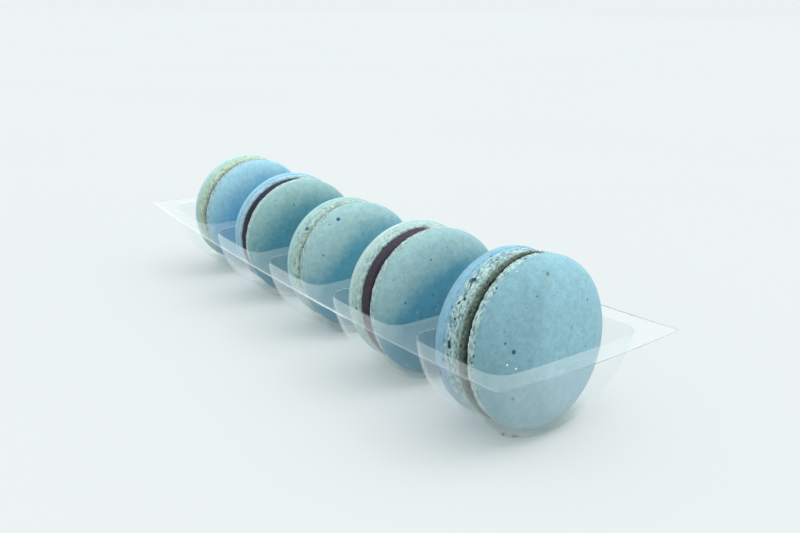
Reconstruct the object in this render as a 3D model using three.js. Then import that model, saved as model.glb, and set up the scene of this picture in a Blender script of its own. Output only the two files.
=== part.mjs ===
import * as THREE from 'three';
import { mergeVertices } from 'three/addons/utils/BufferGeometryUtils.js';

// Five macarons standing on edge, one behind the other, in an open tray of thin clear film.
// Millimetres: +X runs along the row to its near end, +Y across it, +Z up. The tray stands on Z = 0.

// Tray: a flat flange with one deep pocket hanging below it for each macaron
const FILM = 0.45;
const GAP = 0.3;
const POCKETS = 5;
const PITCH = 40;
const FLANGE_LENGTH = 206;
const FLANGE_WIDTH = 62.5;
const FLANGE_CORNER = 1.6;
const FLANGE_HEIGHT = 23.5;
const END_CURL = 2.2;
const FAR_TWIST = 1.8;
const OPENING_LENGTH = 32.2;
const OPENING_WIDTH = 49.8;
const OPENING_CORNER = 4.7;
const POCKET_ROUNDNESS = 2.16;
const FOOT_LENGTH = 21.4;
const FOOT_WIDTH = 9;
const FOOT_ROUNDING = 3;
const POCKET_LEVELS = 7;
const CORNER_STEPS = 4;
const LARGEST_CORNER = 0.97;

// Macarons, from the near end of the row to the far end.
// filling is its thickness and core its radius as a share of the shells'. wedge opens it towards -Y, in
// degrees. foot and dome are the heights of each shell's ruffled foot and of its smooth cap. lean tips the
// top along the row and turn swings the disc about the vertical, both in degrees. along and across shift
// the macaron in its pocket.
const MACARONS = [
  {
    radius: 22.6, filling: 2.0, core: 0.89, wedge: 0, back: { foot: 4.4, dome: 8.0 },
    front: { foot: 2.9, dome: 8.0 }, lean: -3.4, turn: 2.1, along: -0.2, across: -0.7,
  },
  {
    radius: 21.4, filling: 4.1, core: 0.93, wedge: 3, back: { foot: 3.5, dome: 7.2 },
    front: { foot: 3.0, dome: 7.0 }, lean: -2.4, turn: -2.6, along: 0, across: -1.2,
  },
  {
    radius: 20.7, filling: 1.0, core: 0.92, wedge: 0, back: { foot: 4.3, dome: 6.9 },
    front: { foot: 2.8, dome: 7.0 }, lean: -2.3, turn: -1.9, along: -1.3, across: -0.1,
  },
  {
    radius: 21.3, filling: 2.2, core: 0.91, wedge: 2, back: { foot: 2.6, dome: 7.1 },
    front: { foot: 3.1, dome: 7.0 }, lean: 3.6, turn: -0.8, along: 0.4, across: -0.3,
  },
  {
    radius: 21.6, filling: 1.3, core: 0.92, wedge: 0, back: { foot: 3.6, dome: 7.2 },
    front: { foot: 3.1, dome: 6.6 }, lean: 3.2, turn: 4.8, along: 2.7, across: 0.5,
  },
];
const SHELL_SIDES = 40;
const DOME_RINGS = 6;
const DOME_ROUNDNESS = 2.3;
const DOME_FLATNESS = 2.6;
const SKIRT = 0.4;
const RUFFLE = 0.45;
const FOOT_SHIFT = 0.6;
const OUT_OF_ROUND = 0.006;
const THREE_LOBES = 0.6;
const FILLING_SIDES = 28;
const FILLING_BULGE = 0.35;

// Rings of a shell's foot, as shares of its height and of the shell's radius, and how ruffled each is
const FOOT_RINGS = [
  { height: 0, radius: 0.945, ruffle: 0.8 },
  { height: 0.32, radius: 0.98, ruffle: 1 },
  { height: 0.68, radius: 0.975, ruffle: 0.8 },
  { height: 0.94, radius: 0.95, ruffle: 0.2 },
];

const COLOURS = {
  film: 0xe6eef0,
  shells: [0x8fbcc6, 0x93bcc0, 0x8fbabd, 0x8db2b2, 0x86b4cf],
  backShells: [0x8db8d2, 0xa4c3bd, 0x98c0c4, 0x8fbbd4, 0xa0c2c0],
  fillings: [0x8a8d76, 0x4b3049, 0xb0b49c, 0x2f3550, 0xa3a88a],
};

// Repeatable random numbers from 0 to 1 (the mulberry32 generator)
function randomSource(seed) {
  let state = seed;
  return () => {
    state = (state + 0x6d2b79f5) | 0;
    let mixed = Math.imul(state ^ (state >>> 15), 1 | state);
    mixed = (mixed + Math.imul(mixed ^ (mixed >>> 7), 61 | mixed)) ^ mixed;
    return ((mixed ^ (mixed >>> 14)) >>> 0) / 4294967296;
  };
}

// A mesh is gathered as loose triangles of [x, y, z] corners and then joined at its shared corners
function strip(triangles, from, to, flip = false) {
  for (let i = 0; i < from.length; i += 1) {
    const next = (i + 1) % from.length;
    const pair = [[from[i], from[next], to[next]], [from[i], to[next], to[i]]];
    pair.forEach(([a, b, c]) => triangles.push(flip ? [a, c, b] : [a, b, c]));
  }
}

function fan(triangles, loop, centre, flip = false) {
  for (let i = 0; i < loop.length; i += 1) {
    const next = (i + 1) % loop.length;
    triangles.push(flip ? [loop[i], centre, loop[next]] : [loop[i], loop[next], centre]);
  }
}

function solidFrom(triangles) {
  const geometry = new THREE.BufferGeometry();
  geometry.setAttribute('position', new THREE.Float32BufferAttribute(triangles.flat(2), 3));
  const joined = mergeVertices(geometry, 1e-4);
  joined.computeVertexNormals();
  return joined;
}

function flangeTop(x, y) {
  const along = x / (FLANGE_LENGTH / 2);
  const across = y / (FLANGE_WIDTH / 2);
  return FLANGE_HEIGHT + END_CURL * along ** 2 + (FAR_TWIST * across * (1 - along)) / 2;
}

// Rounded rectangle with one point in the middle of each side, counter-clockwise from +X
function roundedOutline(halfLength, halfWidth, cornerLength, cornerWidth) {
  const points = [];
  for (let quarter = 0; quarter < 4; quarter += 1) {
    const start = (quarter * Math.PI) / 2;
    points.push([Math.round(Math.cos(start)) * halfLength, Math.round(Math.sin(start)) * halfWidth]);
    const signX = quarter === 0 || quarter === 3 ? 1 : -1;
    const signY = quarter < 2 ? 1 : -1;
    for (let step = 0; step <= CORNER_STEPS; step += 1) {
      const angle = start + (step / CORNER_STEPS) * (Math.PI / 2);
      points.push([
        signX * (halfLength - cornerLength) + cornerLength * Math.cos(angle),
        signY * (halfWidth - cornerWidth) + cornerWidth * Math.sin(angle),
      ]);
    }
  }
  return points;
}

// One pocket's stretch of the flange, as an outline whose points face those of the opening.
// Only the two ends of the tray have round corners.
function cellOutline(centre, left, right) {
  const half = FLANGE_WIDTH / 2;
  const end = FLANGE_LENGTH / 2;
  const tangent = 1 - Math.SQRT1_2;
  const sideY = OPENING_WIDTH / 2 - OPENING_CORNER;
  const corner = (edge, inward, signY) => {
    const round = Math.abs(edge) >= end ? FLANGE_CORNER : 0;
    const straight = OPENING_LENGTH / 2 - OPENING_CORNER;
    const near = round || (half - sideY) / 2;
    const far = round || (Math.abs(edge - centre) - straight) / 2;
    const sideX = centre - inward * straight;
    return [
      [edge, signY * sideY],
      [edge, signY * (half - near)],
      [edge + inward * round * tangent, signY * (half - round * tangent)],
      [edge + inward * far, signY * half],
      [sideX, signY * half],
    ];
  };
  return [
    [right, 0], ...corner(right, -1, 1),
    [centre, half], ...corner(left, 1, 1).reverse(),
    [left, 0], ...corner(left, 1, -1),
    [centre, -half], ...corner(right, -1, -1).reverse(),
  ];
}

// Sections of a pocket from the flange down to its flat foot. spread widens them for the outer face.
function pocketLoops(centre, spread, lift) {
  const ratio = (FOOT_WIDTH / OPENING_WIDTH) ** (POCKET_ROUNDNESS / 2);
  const lastAngle = Math.acos(ratio);
  const power = 2 / POCKET_ROUNDNESS;
  const loops = [];
  for (let level = 0; level <= POCKET_LEVELS; level += 1) {
    const angle = (lastAngle * level) / POCKET_LEVELS;
    const drop = (Math.sin(angle) / Math.sin(lastAngle)) ** power;
    const height = (1 - drop) * (FLANGE_HEIGHT - FILM);
    const intoRounding = Math.max(0, FOOT_ROUNDING - height);
    const rounding = FOOT_ROUNDING - Math.sqrt(FOOT_ROUNDING ** 2 - intoRounding ** 2);
    const halfLength = THREE.MathUtils.lerp(OPENING_LENGTH, FOOT_LENGTH, drop) / 2 - rounding + spread;
    const halfWidth = (OPENING_WIDTH / 2) * Math.cos(angle) ** power + spread;
    const cornerWidth = Math.min(OPENING_CORNER / Math.cos(angle), halfWidth * LARGEST_CORNER);
    const outline = roundedOutline(halfLength, halfWidth, OPENING_CORNER, cornerWidth);
    loops.push(outline.map(([x, y]) => {
      const top = flangeTop(centre + x, y) - FILM;
      return [centre + x, y, lift + (1 - drop) * top];
    }));
  }
  return loops;
}

function trayGeometry() {
  const triangles = [];
  const end = FLANGE_LENGTH / 2;
  for (let pocket = 0; pocket < POCKETS; pocket += 1) {
    const centre = (pocket - (POCKETS - 1) / 2) * PITCH;
    const left = pocket === 0 ? -end : centre - PITCH / 2;
    const right = pocket === POCKETS - 1 ? end : centre + PITCH / 2;
    const outline = cellOutline(centre, left, right);
    const top = outline.map(([x, y]) => [x, y, flangeTop(x, y)]);
    const under = top.map(([x, y, z]) => [x, y, z - FILM]);
    const inner = pocketLoops(centre, 0, FILM);
    const outer = pocketLoops(centre, FILM, 0);

    strip(triangles, top, inner[0]);
    strip(triangles, under, outer[0], true);
    for (let level = 0; level < POCKET_LEVELS; level += 1) {
      strip(triangles, inner[level], inner[level + 1]);
      strip(triangles, outer[level], outer[level + 1], true);
    }
    fan(triangles, inner[POCKET_LEVELS], [centre, 0, FILM]);
    fan(triangles, outer[POCKET_LEVELS], [centre, 0, 0], true);

    for (let i = 0; i < outline.length; i += 1) {
      const next = (i + 1) % outline.length;
      const joins = (x) => outline[i][0] === x && outline[next][0] === x && Math.abs(x) < end;
      if (!joins(left) && !joins(right)) {
        triangles.push([top[i], under[i], under[next]], [top[i], under[next], top[next]]);
      }
    }
  }
  return solidFrom(triangles);
}

// Ring of a macaron about the row's direction. place gives each point's X and rim its radius.
function ringLoop(sides, place, rim) {
  return Array.from({ length: sides }, (_, side) => {
    const angle = (side / sides) * Math.PI * 2;
    const radius = rim(angle, side);
    return [place(angle, side), radius * Math.cos(angle), radius * Math.sin(angle)];
  });
}

// A baked shell: a flat inner face at X = 0, a ruffled foot and a smooth domed cap towards +X
function shellGeometry(radius, { foot, dome }, seed) {
  const random = randomSource(seed);
  const phase = [random(), random()].map((value) => value * Math.PI * 2);
  const oval = (angle) => {
    const lobes = Math.sin(2 * angle + phase[0]) + THREE_LOBES * Math.sin(3 * angle + phase[1]);
    return 1 + OUT_OF_ROUND * lobes;
  };
  const loops = FOOT_RINGS.map((ring, index) => {
    const depth = RUFFLE * ring.ruffle;
    const bulges = Array.from({ length: SHELL_SIDES }, () => (random() - 0.5) * 2 * depth);
    const shifts = Array.from({ length: SHELL_SIDES }, () => random() * FOOT_SHIFT * depth);
    const shiftShare = index === 0 ? 0.5 : 1;
    return ringLoop(
      SHELL_SIDES,
      (angle, side) => ring.height * foot + shiftShare * shifts[side],
      (angle, side) => radius * ring.radius * oval(angle) + bulges[side],
    );
  });
  for (let ring = 0; ring < DOME_RINGS; ring += 1) {
    const climb = Math.sin((ring / DOME_RINGS) * (Math.PI / 2));
    const reach = (1 - climb ** DOME_FLATNESS) ** (1 / DOME_ROUNDNESS);
    loops.push(ringLoop(
      SHELL_SIDES,
      () => foot + SKIRT + dome * climb,
      (angle) => radius * oval(angle) * reach,
    ));
  }
  const triangles = [];
  fan(triangles, loops[0], [0, 0, 0], true);
  for (let ring = 0; ring < loops.length - 1; ring += 1) {
    strip(triangles, loops[ring], loops[ring + 1]);
  }
  fan(triangles, loops[loops.length - 1], [foot + SKIRT + dome, 0, 0]);
  return solidFrom(triangles);
}

// The filling runs right through between the shells as a disc with a slightly bulging edge. slope moves
// its back face as the back shell is turned.
function fillingGeometry(radius, thickness, slope, seed) {
  const random = randomSource(seed);
  const phase = random() * Math.PI * 2;
  const wave = (angle) => 1 + OUT_OF_ROUND * Math.sin(3 * angle + phase);
  const edge = (share, bulge) => ringLoop(
    FILLING_SIDES,
    (angle) => share * thickness + (0.5 - share) * slope * radius * Math.cos(angle),
    (angle) => radius * wave(angle) + bulge,
  );
  const loops = [edge(-0.5, 0), edge(0, FILLING_BULGE), edge(0.5, 0)];
  const triangles = [];
  fan(triangles, loops[0], [-thickness / 2, 0, 0], true);
  strip(triangles, loops[0], loops[1]);
  strip(triangles, loops[1], loops[2]);
  fan(triangles, loops[2], [thickness / 2, 0, 0]);
  return solidFrom(triangles);
}

function piece(name, geometry, colour, roughness) {
  const material = new THREE.MeshStandardMaterial({ color: colour, roughness, metalness: 0 });
  const mesh = new THREE.Mesh(geometry, material);
  mesh.name = name;
  return mesh;
}

function lowestPoint(object) {
  object.updateMatrixWorld(true);
  let lowest = Infinity;
  object.traverse((child) => {
    if (!child.isMesh) {
      return;
    }
    const corners = child.geometry.getAttribute('position');
    const corner = new THREE.Vector3();
    for (let i = 0; i < corners.count; i += 1) {
      corner.fromBufferAttribute(corners, i).applyMatrix4(child.matrixWorld);
      lowest = Math.min(lowest, corner.z);
    }
  });
  return lowest;
}

// One macaron: two shells facing away from each other with the filling between them
function macaron(number, size) {
  const group = new THREE.Group();
  const inner = size.filling / 2 + GAP;
  const wedge = THREE.MathUtils.degToRad(size.wedge);
  const name = `macaron_${number}`;
  const front = piece(
    `${name}_front_shell`,
    shellGeometry(size.radius, size.front, number * 10 + 1),
    COLOURS.shells[number - 1],
    0.75,
  );
  front.position.x = inner;
  const back = piece(
    `${name}_back_shell`,
    shellGeometry(size.radius, size.back, number * 10 + 2),
    COLOURS.backShells[number - 1],
    0.75,
  );
  back.position.x = -inner;
  back.rotation.z = Math.PI - wedge;
  const filling = piece(
    `${name}_filling`,
    fillingGeometry(size.radius * size.core, size.filling, Math.tan(wedge), number * 10 + 3),
    COLOURS.fillings[number - 1],
    0.5,
  );
  group.add(back, filling, front);

  const lean = THREE.MathUtils.degToRad(size.lean);
  const turn = THREE.MathUtils.degToRad(size.turn);
  group.rotation.set(0, lean, turn, 'ZYX');
  const pocketCentre = ((POCKETS + 1) / 2 - number) * PITCH;
  group.position.set(pocketCentre + size.along, size.across, 0);
  group.position.z = FILM + GAP - lowestPoint(group);
  return group;
}

const trayOfMacarons = new THREE.Group();
trayOfMacarons.add(piece('tray', trayGeometry(), COLOURS.film, 0.08));
MACARONS.forEach((size, index) => trayOfMacarons.add(macaron(index + 1, size)));

export default trayOfMacarons;
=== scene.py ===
import math
from collections import namedtuple
from itertools import starmap

import bmesh
import bpy
import numpy as np
from mathutils import Matrix, Vector


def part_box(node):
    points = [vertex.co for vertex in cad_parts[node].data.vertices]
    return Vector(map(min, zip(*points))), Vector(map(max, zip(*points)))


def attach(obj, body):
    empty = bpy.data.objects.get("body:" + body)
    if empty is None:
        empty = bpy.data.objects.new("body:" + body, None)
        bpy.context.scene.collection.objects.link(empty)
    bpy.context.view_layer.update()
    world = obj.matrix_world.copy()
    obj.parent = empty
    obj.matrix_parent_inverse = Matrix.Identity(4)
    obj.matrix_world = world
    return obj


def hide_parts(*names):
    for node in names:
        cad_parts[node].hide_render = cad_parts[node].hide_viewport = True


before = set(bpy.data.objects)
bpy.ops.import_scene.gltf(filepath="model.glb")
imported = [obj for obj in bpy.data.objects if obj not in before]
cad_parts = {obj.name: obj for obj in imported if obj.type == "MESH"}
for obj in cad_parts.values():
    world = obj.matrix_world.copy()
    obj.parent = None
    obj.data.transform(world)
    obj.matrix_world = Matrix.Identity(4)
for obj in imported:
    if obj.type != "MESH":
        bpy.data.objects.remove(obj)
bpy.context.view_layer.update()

# Five macarons standing on edge, one behind the other, in an open tray of thin clear film.
# Lengths are in millimetres until a mesh is made, and MM turns them to metres.
# +X runs along the row to its near end, +Y across it, +Z up.
MM = 0.001

# Tray: a flat flange with one deep pocket below it for each macaron. WALL is the thickness of its solid in
# the frame, whose outer faces the thinner film keeps.
WALL = 0.45
FILM = 0.25
PITCH = 40.0
POCKETS = 5
FLANGE_CORNER = 0.5
FLANGE_HEIGHT = 23.5
END_CURL = 1.8
CORNER_LIFT = 1.2
FAR_TWIST = 1.8
OPENING_LENGTH = 32.2
OPENING_WIDTH = 49.8
OPENING_CORNER = 4.7
OPENING_FILLET = 0.5
POCKET_ROUNDNESS = 2.16
FOOT_LENGTH = 21.4
FOOT_WIDTH = 9.0
FOOT_ROUNDING = 3.0
LARGEST_CORNER = 0.97
POCKET_LEVELS = 34
FILLET_STEPS = 5
CORNER_STEPS = 9
SIDE_STEPS = 6
TRAY_LOW, TRAY_HIGH = (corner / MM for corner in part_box("tray"))
FLANGE_LENGTH = TRAY_HIGH.x - TRAY_LOW.x
FLANGE_WIDTH = TRAY_HIGH.y - TRAY_LOW.y

# Macarons: two baked shells, each a ruffled foot under a smooth cap, with the filling between them
GAP = 0.3
DOME_ROUNDNESS = 2.3
DOME_FLATNESS = 2.6
SKIRT = 0.4
FOOT_INNER = 0.935
UNDERCUT = 0.982
FOOT_EDGE = 0.8
SHELL_SIDES = 600
FOOT_STEP = 0.15
LIP_STEPS = 6
CAP_STEPS = 44
FILLING_SIDES = 520
FILLING_STEPS = 20
FILLING_BULGE = 0.15
FILLING_EDGE = 1.2
FILLING_CRUMPLE = 0.12

# The heart of each shell's flat inner face, as rings in shares of its radius
INNER_RINGS = (0.15, 0.45, 0.7, 0.82, 0.87, 0.905)

# A front shell that gapes opens towards its low corner on the -Y side. Its hinge line lies on the other side
# of its middle, at this share of the radius.
GAPE_TOWARDS = Vector((0.0, -0.87, -0.49))
GAPE_HINGE = 0.3

Fleck = namedtuple("Fleck", "across up width code height", defaults=(None,))
# crown is a shell's own colour. The second colour is painted shading laid round one point of the cap: deeper
# where a neighbouring macaron shadows it, paler where light falls.
Shell = namedtuple("Shell", "foot dome crown blush crumb pits flecks")
Macaron = namedtuple(
    "Macaron",
    "radius filling core sink wedge gape closed lean turn along across blushed back front cream start",
)
ALMOND_SKIN = "#64705a"
# Dark spots painted on the feet as shade inside pores
PAINTED_PORE_SHADE = "#0c2833"
CRISP_EDGE = "#cfe0d8"
FOOT_CRUMB = "#98afa9"
FOOT_SHADE = "#5d8388"
# Shade painted into the hollows and pits of the foot's relief
PAINTED_HOLLOW_SHADE = "#2f5660"
PAINTED_PIT_SHADE = "#0d303c"
DYE_BLUE = "#18436f"
DYE_TEAL = "#2b6274"
WHITE_SPECK = "#e6f4f6"

# How strongly the inner edge of a macaron's two shells turns pale and crisp
CRISPNESS = {"front": 1.0, "back": 0.1}

# The caps' painted shading, their second colour, is full up to the first distance from its middle and gone at
# the second, in radii of the shell, and its border wanders by this much. It is painted shade where a
# neighbour shadows a cap, and paler where light falls.
PAINTED_SHADING_FADE = (0.95, 1.4)
PAINTED_SHADING_RAGGEDNESS = 0.4

# Mottling of the caps: the width in millimetres and the detail of the pattern, the values between which it
# turns, and how much it darkens and lightens the skin
MOTTLES = ((1.8, 4.0, 0.3, 0.7, 0.9, 1.08), (0.5, 3.0, 0.34, 0.5, 0.87, 1.0))

# Almond specks, grains of dye and small white specks: their spacing in millimetres, the share of places that
# have one, the width of the widest, how well it covers, and the two shades that they lie between
GRAINS = (
    (1.25, 0.5, 0.5, 0.55, "#2a6276", "#4c6c70"),
    (6.0, 0.3, 0.9, 0.75, DYE_BLUE, "#3c6a72"),
    (3.4, 0.25, 0.42, 0.75, WHITE_SPECK, WHITE_SPECK),
)

# From the near end of the row to the far end. foot and dome are the heights of a shell's ruffled foot and of
# its smooth cap, pits the share of the foot's cells that are holes. core is the filling's radius as a share
# of the shells', and sink how deep its edge falls back beside the back and the front shell. wedge turns the
# back shell away towards -Y, and gape the front one at its low corner there. Above the middle, the shells
# close over the filling from closed millimetres across. wedge, gape, lean and turn are in degrees.
# blushed is where the shading painted into the caps is fullest, across and up the macaron in
# shares of its radius: painted shade where the next macaron shadows a front cap. start is how far from the
# back shell the filling takes its own colour.
# A fleck lies across and up from its shell's middle, on the cap or at a height on the foot.
MACARONS = (
    Macaron(
        22.6, 2.0, 0.975, (0.0, 2.6), 0.0, 2.5, 6.0, -3.4, 2.1, -0.2, -0.7, (1.05, 0.2),
        back=Shell(4.4, 8.0, "#7aa3b7", "#84b2c6", "#a8c0bf", 0.4, (
            (21.5, -5.6, 3.2, "#5d6f95"), (-3.1, 21.6, 1.6, DYE_TEAL),
            (14.0, 16.6, 1.9, PAINTED_PORE_SHADE, 2.5), (14.7, 15.9, 1.2, PAINTED_PORE_SHADE, 2.2), (18.4, 12.1, 0.9, PAINTED_PORE_SHADE, 2.7),
            (20.4, 8.6, 0.8, PAINTED_PORE_SHADE, 2.2), (17.6, 13.2, 0.9, PAINTED_PORE_SHADE, 1.6), (22.2, 2.8, 1.3, PAINTED_PORE_SHADE, 2.5),
            (22.2, 1.9, 1.1, PAINTED_PORE_SHADE, 2.3), (22.3, -0.4, 0.8, PAINTED_PORE_SHADE, 2.7), (20.3, 7.0, 0.7, PAINTED_PORE_SHADE, 0.9),
            (11.5, 17.8, 0.8, PAINTED_PORE_SHADE, 0.8), (8.5, 19.2, 0.7, PAINTED_PORE_SHADE, 3.4), (6.8, 21.0, 0.7, PAINTED_PORE_SHADE, 1.6),
        )),
        front=Shell(2.9, 8.0, "#759ba5", "#83abb7", "#a8c0bf", 0.3, (
            (-16.1, 3.2, 1.1, DYE_BLUE), (-15.8, -8.7, 0.9, ALMOND_SKIN), (-2.9, 19.2, 0.9, ALMOND_SKIN),
            (9.2, -1.6, 0.5, DYE_TEAL), (-18.0, 5.6, 0.6, DYE_TEAL), (5.6, -15.9, 0.6, DYE_TEAL),
            (10.5, 10.2, 0.6, DYE_TEAL), (-7.9, 14.9, 0.5, DYE_TEAL), (2.9, 4.9, 0.5, DYE_TEAL),
            (-17.8, 0.4, 0.4, WHITE_SPECK), (-15.5, -0.9, 0.4, WHITE_SPECK),
            (-3.5, 21.5, 0.9, PAINTED_PORE_SHADE, 1.9), (-15.4, 15.9, 0.9, PAINTED_PORE_SHADE, 3.0), (-14.4, 16.8, 0.7, PAINTED_PORE_SHADE, 2.7),
            (-19.4, 10.0, 0.6, PAINTED_PORE_SHADE, 2.3), (-20.0, 8.4, 0.6, PAINTED_PORE_SHADE, 2.4), (-21.3, 5.0, 0.7, PAINTED_PORE_SHADE, 2.2),
            (-22.0, 1.9, 0.7, PAINTED_PORE_SHADE, 2.5), (-21.8, 0.0, 0.8, PAINTED_PORE_SHADE, 1.9), (-20.4, -8.9, 0.7, PAINTED_PORE_SHADE, 2.6),
        )),
        cream="#5d7066", start=0.4,
    ),
    Macaron(
        21.4, 4.1, 0.955, (0.4, 2.0), 3.0, 0.0, 0.0, -2.4, -2.6, 0.0, -1.2, (0.3, -0.7),
        back=Shell(3.5, 7.2, "#a6c0bc", "#a1bcbc", "#a6bdba", 0.16, (
            (7.9, 18.4, 1.0, PAINTED_PORE_SHADE, 0.5), (9.6, 17.6, 0.9, PAINTED_PORE_SHADE, 0.5), (11.1, 16.7, 1.0, PAINTED_PORE_SHADE, 0.4),
            (12.6, 15.6, 1.1, PAINTED_PORE_SHADE, 0.4), (14.9, 13.6, 1.1, PAINTED_PORE_SHADE, 0.6), (16.6, 12.0, 0.7, PAINTED_PORE_SHADE, 1.1),
            (19.0, 7.7, 0.9, PAINTED_PORE_SHADE, 2.4), (20.7, 1.2, 0.7, PAINTED_PORE_SHADE, 1.3), (20.7, -1.2, 0.8, PAINTED_PORE_SHADE, 1.6),
            (0.4, 20.5, 0.9, PAINTED_PORE_SHADE, 1.0), (-2.5, 20.1, 0.7, PAINTED_PORE_SHADE, 0.7),
        )),
        front=Shell(3.0, 7.0, "#86a6a9", "#4a8599", "#a6bdba", 0.2, (
            (-6.3, 14.6, 0.6, DYE_TEAL), (-14.9, 3.8, 0.6, DYE_TEAL),
        )),
        cream="#2b1531", start=0.3,
    ),
    Macaron(
        20.7, 1.0, 0.955, (0.4, 2.4), 0.0, 0.0, 6.0, -2.3, -1.9, -1.3, -0.1, (0.35, -0.7),
        back=Shell(4.3, 6.9, "#9abdbc", "#8ebbc5", "#a9beb4", 0.26, (
            (15.2, 12.7, 1.7, DYE_BLUE, 1.2),
        )),
        front=Shell(2.8, 7.0, "#8aabad", "#4e8a9e", "#a6bdba", 0.2, (
            (-9.3, 17.0, 1.2, DYE_BLUE), (-15.7, 6.5, 0.6, DYE_TEAL),
        )),
        cream="#4a4f40", start=0.75,
    ),
    Macaron(
        21.3, 3.0, 0.95, (0.3, 1.4), 2.4, 0.0, 1.5, 3.6, -0.8, 0.0, -0.3, (0.25, -0.65),
        back=Shell(1.8, 7.1, "#8bb9cd", "#86b6cf", "#9abccb", 0.1, ()),
        front=Shell(3.1, 7.0, "#82a4a3", "#4b8595", "#a6bdba", 0.1, (
            (-6.4, 14.2, 0.6, DYE_TEAL),
        )),
        cream="#0a0d2c", start=-0.3,
    ),
    Macaron(
        21.6, 1.3, 0.96, (0.3, 2.6), 0.8, 0.0, 1.0, 3.2, 4.8, 2.7, 0.5, (0.35, -0.65),
        back=Shell(3.6, 7.2, "#a4c4c2", "#95c2c8", "#b2c2a8", 0.14, ()),
        front=Shell(3.1, 6.6, "#8ab3c2", "#5796b8", "#a1b8bc", 0.14, ()),
        cream="#4f5a45", start=0.75,
    ),
)

# Bits of dried jam on the inside of the near pocket, as x, y, z and half width
LOOSE_CRUMBS = (
    (87.7, -13.5, 3.5, 0.45), (88.6, -11.0, 2.6, 0.42), (88.9, -10.1, 2.4, 0.3), (88.2, -12.3, 3.0, 0.22),
    (87.2, -14.4, 4.0, 0.18), (89.0, -9.2, 2.2, 0.2),
)

# Camera: fitted to the tray's edges and the macarons' outlines in the photograph
CAMERA_AZIMUTH = math.radians(53.56)
CAMERA_ELEVATION = math.radians(18.29)
CAMERA_ROLL = math.radians(1.22)
CAMERA_TARGET = Vector((25.0, 0.1, 27.1))
CAMERA_DISTANCE = 246.7
FOCAL_PIXELS = 805.8
IMAGE_WIDTH = 800
SENSOR_WIDTH = 36.0

# Light: a pale tent, brighter overhead, over backlit paper of the same tone at the horizon
TENT = "#ecf2f3"
TENT_RISE = 2.0
PAPER = "#979291"
PAPER_LIGHT = "#dcf2f5"
PAPER_GLOW = 0.40
KEY_DIRECTION = Vector((0.25, 0.5, 0.83))
BROAD_LAMP = (1.5, 50.0)
SMALL_LAMP = (0.12, 6.0)

# Share of the light that each of the film's two faces mirrors when seen square on, how much it gains at a
# slant, and how late it gains it, for upright film and for level film, whose glare is polarised away
FILM_MIRROR_WALL = (0.04, 0.96, 4.5)
FILM_MIRROR_LEVEL = (0.03, 0.8, 8.0)

# The stretch of the near long edge where a highlight is painted white in short dashes, and how far in from
# that edge the film is painted pale, partly as its frosted cut and partly as painted highlight
GLINT_STRETCH = (20.0, 44.0)
PALE_BAND_WIDTH = 0.8

# The paper lies this far below the tray's foot, so that their faces don't share a plane
FLOOR = -0.05

# Light goes on through as many faces of the film as a look along the whole row takes it
FILM_FACES_PASSED = 32

# Settings that many nodes share
SOFT = {"interpolation_type": "SMOOTHSTEP"}
RGBA = {"data_type": "RGBA"}
TINT = {"data_type": "RGBA", "blend_type": "MULTIPLY"}


def linear(code, alpha=1.0):
    """An sRGB hex colour as linear RGBA."""
    channels = (int(code[i:i + 2], 16) / 255 for i in (1, 3, 5))
    return (*(c / 12.92 if c <= 0.04045 else ((c + 0.055) / 1.055) ** 2.4 for c in channels), alpha)


def add(tree, kind, sockets=(), **settings):
    """Adds a node with its settings. A list fills its open inputs in order, and a dict those that it names,
    from values, outputs, or nodes, each of which stands for its first open output."""
    made = tree.nodes.new(kind)
    for name, value in settings.items():
        setattr(made, name, value)
    inputs = [socket for socket in made.inputs if socket.enabled]
    if isinstance(sockets, dict):
        inputs = [next(socket for socket in inputs if socket.name == name) for name in sockets]
        sockets = sockets.values()
    for socket, value in zip(inputs, sockets):
        if isinstance(value, bpy.types.Node):
            value = next(output for output in value.outputs if output.enabled)
        if isinstance(value, bpy.types.NodeSocket):
            tree.links.new(value, socket)
        else:
            socket.default_value = value
    return made


def mesh_object(name, vertices, faces):
    """A smooth-shaded object from vertices in millimetres and faces."""
    mesh = bpy.data.meshes.new(name)
    mesh.from_pydata([tuple(v) for v in np.asarray(vertices) * MM], [], faces)
    mesh.update()
    mesh.shade_smooth()
    made = bpy.data.objects.new(name, mesh)
    bpy.context.scene.collection.objects.link(made)
    return made


def store(mesh, name, values):
    """Keeps one number for each vertex as a named attribute."""
    attribute = mesh.attributes.new(name, "FLOAT", "POINT")
    attribute.data.foreach_set("value", np.asarray(values, np.float32))


def ring_faces(rings, sides):
    """Quads between neighbouring rings of vertices that are numbered ring after ring."""
    return [
        (a * sides + i, a * sides + (i + 1) % sides, (a + 1) * sides + (i + 1) % sides, (a + 1) * sides + i)
        for a in range(rings - 1)
        for i in range(sides)
    ]


def lathe(name, profile, sides):
    """A closed solid turned about X from (height, radius) rings, with a fan at each end."""
    angles = np.arange(sides) / sides * 2 * math.pi
    rings = [
        np.column_stack([np.full(sides, height), radius * np.cos(angles), radius * np.sin(angles)])
        for height, radius in profile
    ]
    count = len(rings) * sides
    vertices = np.vstack(rings + [[[profile[0][0], 0, 0], [profile[-1][0], 0, 0]]])
    faces = ring_faces(len(rings), sides)
    last = count - sides
    faces += [(i, count, (i + 1) % sides) for i in range(sides)]
    faces += [(last + i, last + (i + 1) % sides, count + 1) for i in range(sides)]
    return mesh_object(name, vertices, faces)


def smooth(value, low, high):
    """0 below low and 1 above high, with a soft step between them."""
    t = np.clip((np.asarray(value, float) - low) / (high - low), 0, 1)
    return t * t * (3 - 2 * t)


# Shells

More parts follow.
